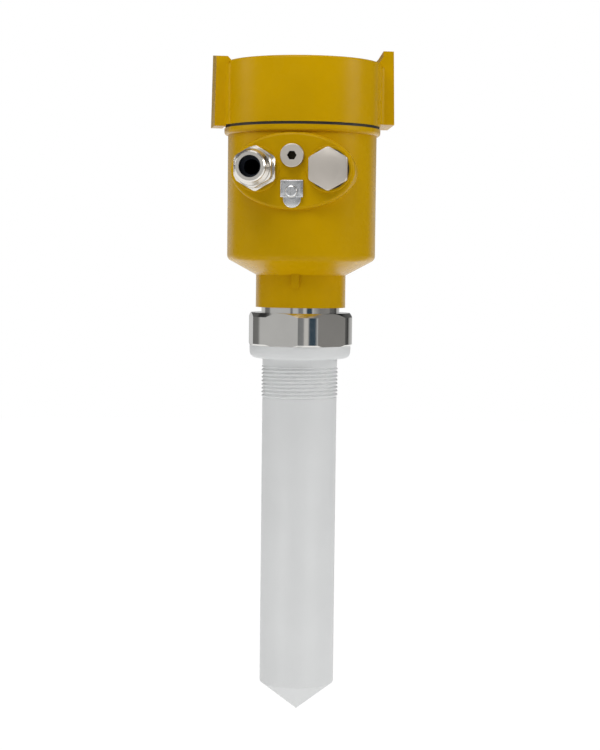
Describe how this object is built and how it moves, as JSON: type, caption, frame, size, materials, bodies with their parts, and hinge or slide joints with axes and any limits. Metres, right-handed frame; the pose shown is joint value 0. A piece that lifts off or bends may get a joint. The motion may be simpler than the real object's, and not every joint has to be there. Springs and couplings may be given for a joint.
{
  "type": "radar level transmitter",
  "caption": "Radar level transmitter: screw-capped cast housing with cable gland, blind plug and ground terminal, on a hexagon thread fitting with a white encapsulated rod-shaped antenna.",
  "frame": {"origin": "on the antenna's axis, in the plane of the flange's underside, where the transmitter seats on its threaded socket", "axes": "+Z along the axis towards the cover, the antenna points to -Z, and the boss with the cable gland faces -Y"},
  "size_m": [0.1139, 0.1263, 0.4137],
  "materials": {
    "yellow_paint": "satin powder coat on cast aluminium",
    "stainless_steel": "turned and polished",
    "spring_steel": "satin",
    "white_plastic": "matt",
    "black_rubber": "matt",
    "gland_rubber": "satin",
    "horn_aluminium": "satin",
    "module_casing": "satin",
    "lead_sheath": "satin",
    "nickel_plate": "polished nickel plate",
    "satin_nickel": "satin nickel plate",
    "zinc_plate": "bright zinc plate",
    "dark_plastic": "matt",
    "terminal_plastic": "satin",
    "cage_plastic": "satin"
  },
  "bodies": {
    "process_fitting": {"hexagon_fitting": "stainless_steel", "swivel_seal": "black_rubber", "swivel_ring": "spring_steel", "antenna_cover": "white_plastic", "antenna_seal": "black_rubber", "antenna_horn": "horn_aluminium", "microwave_module": "module_casing", "signal_lead": "lead_sheath"},
    "housing": {"housing": "yellow_paint", "gland_washer": "black_rubber", "gland_body": "nickel_plate", "gland_insert": "gland_rubber", "plug_washer": "black_rubber", "blind_plug": "satin_nickel", "vent_washer": "black_rubber", "vent_plug": "satin_nickel", "ground_tongue": "zinc_plate", "ground_clamp": "zinc_plate", "ground_washer": "zinc_plate", "ground_screw": "zinc_plate", "electronics_module": "dark_plastic", "module_screws": "zinc_plate", "terminal_block": "terminal_plastic", "terminal_screws": "zinc_plate", "inner_ground_screw": "zinc_plate"},
    "cover_seal": {"cover_seal": "black_rubber"},
    "cover": {"cover": "yellow_paint"},
    "gland_cage": {"gland_cage": "cage_plastic"},
    "gland_nut": {"gland_nut": "nickel_plate"}
  },
  "joints": [
    {"name": "housing_swivel", "type": "hinge", "parent": "process_fitting", "child": "housing", "pos_m": [0, 0, 0.0318], "axis": [0, 0, 1], "range_deg": [-165, 165]},
    {"name": "cover_rise", "type": "slide", "parent": "housing", "child": "cover_seal", "axis": [0, 0, 1], "range_m": [0, 0.0141]},
    {"name": "cover_turn", "type": "hinge", "parent": "cover_seal", "child": "cover", "pos_m": [0, 0, 0.1438], "axis": [0, 0, 1], "range_deg": [0, 2520]},
    {"name": "nut_rise", "type": "slide", "parent": "housing", "child": "gland_cage", "axis": [0, -1, 0], "range_m": [0, 0.0038]},
    {"name": "nut_turn", "type": "hinge", "parent": "gland_cage", "child": "gland_nut", "pos_m": [-0.02175, -0.0617, 0.1153], "axis": [0, -1, 0], "range_deg": [0, 900]}
  ],
  "couplings": [
    {"joint": "cover_rise", "follows": "cover_turn", "m_per_rad": 0.00031831},
    {"joint": "nut_rise", "follows": "nut_turn", "m_per_rad": 0.00023873}
  ]
}
